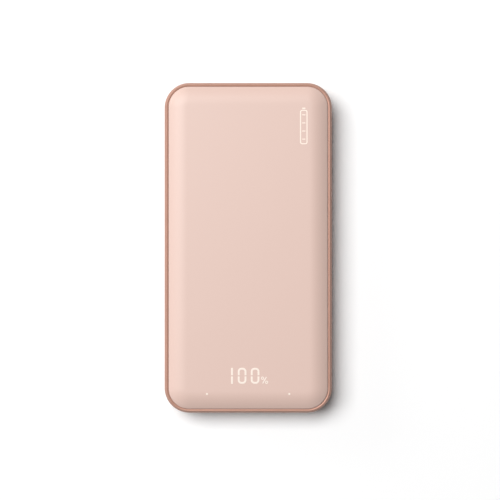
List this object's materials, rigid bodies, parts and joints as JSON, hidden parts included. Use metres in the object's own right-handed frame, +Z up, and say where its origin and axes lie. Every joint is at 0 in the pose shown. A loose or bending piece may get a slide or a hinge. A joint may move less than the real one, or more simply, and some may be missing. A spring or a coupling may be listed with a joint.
{
  "type": "power bank",
  "caption": "Slim rectangular power bank with two softly edged covers in a bright mid frame, a digit display, USB sockets at one end and a press button on one side.",
  "frame": {"origin": "middle of the flat face of the bottom cover that it rests on", "axes": "+X across the bank towards the button side, +Y along it away from the ports, +Z up out of the top cover"},
  "size_m": [0.07, 0.138, 0.015],
  "materials": {
    "cover_plastic": "satin pink moulding with a fine soft-touch texture",
    "frame_finish": "rose-gold metallic paint on plastic, satin",
    "port_steel": "drawn sheet, satin",
    "port_insulator": "black glass-filled moulding",
    "contact_metal": "plated contact metal",
    "board_laminate": "green solder mask over glass laminate",
    "card": "pale insulating card",
    "inductor_core": "dark pressed ferrite",
    "chip_resin": "black moulded resin",
    "capacitor_can": "bare can",
    "screw_steel": "zinc plated",
    "light_frame": "white light-blocking moulding and film",
    "display_light": "warm white light seen through the cover",
    "mark_ink": "pale printed mark",
    "cell_foil": "laminated foil pouch",
    "foam": "black foam"
  },
  "bodies": {
    "housing": {"mid_frame": "frame_finish", "top_cover": "cover_plastic", "bottom_cover": "cover_plastic", "usb_a_left_shell": "port_steel", "usb_a_right_shell": "port_steel", "usb_c_shell": "port_steel", "usb_a_left_core": "port_insulator", "usb_a_right_core": "port_insulator", "usb_c_core": "port_insulator", "usb_c_riser": "port_insulator", "board_header": "port_insulator", "tact_switch_body": "port_insulator", "main_board": "board_laminate", "display_board": "board_laminate", "board_insulator": "card", "cell_tape": "card", "power_inductor": "inductor_core", "charge_chip": "chip_resin", "boost_chip": "chip_resin", "protection_chip": "chip_resin", "control_chip": "chip_resin", "thermistor": "chip_resin", "output_capacitor_1": "capacitor_can", "output_capacitor_2": "capacitor_can", "output_capacitor_3": "capacitor_can", "board_screw_1": "screw_steel", "board_screw_2": "screw_steel", "board_screw_3": "screw_steel", "board_screw_4": "screw_steel", "display_light_frame": "light_frame", "display_diffuser": "light_frame", "indicator_led_left": "display_light", "indicator_led_right": "display_light", "battery_cell_lower": "cell_foil", "battery_cell_upper": "cell_foil", "foam_pad_lower": "foam", "foam_pad_upper": "foam", "lower_tab_negative": "contact_metal", "lower_tab_positive": "contact_metal", "upper_tab_negative": "contact_metal", "upper_tab_positive": "contact_metal"},
    "button": {"power_button": "frame_finish"},
    "plunger": {"tact_switch_plunger": "contact_metal"}
  },
  "joints": [
    {"name": "button_press", "type": "slide", "parent": "housing", "child": "button", "axis": [-1, 0, 0], "range_m": [0, 0.0004], "stiffness_N_per_m": 3000, "springref_m": -0.0002},
    {"name": "plunger_travel", "type": "slide", "parent": "housing", "child": "plunger", "axis": [-1, 0, 0], "range_m": [0, 0.0004]}
  ],
  "couplings": [
    {"joint": "plunger_travel", "follows": "button_press", "ratio": 1}
  ]
}
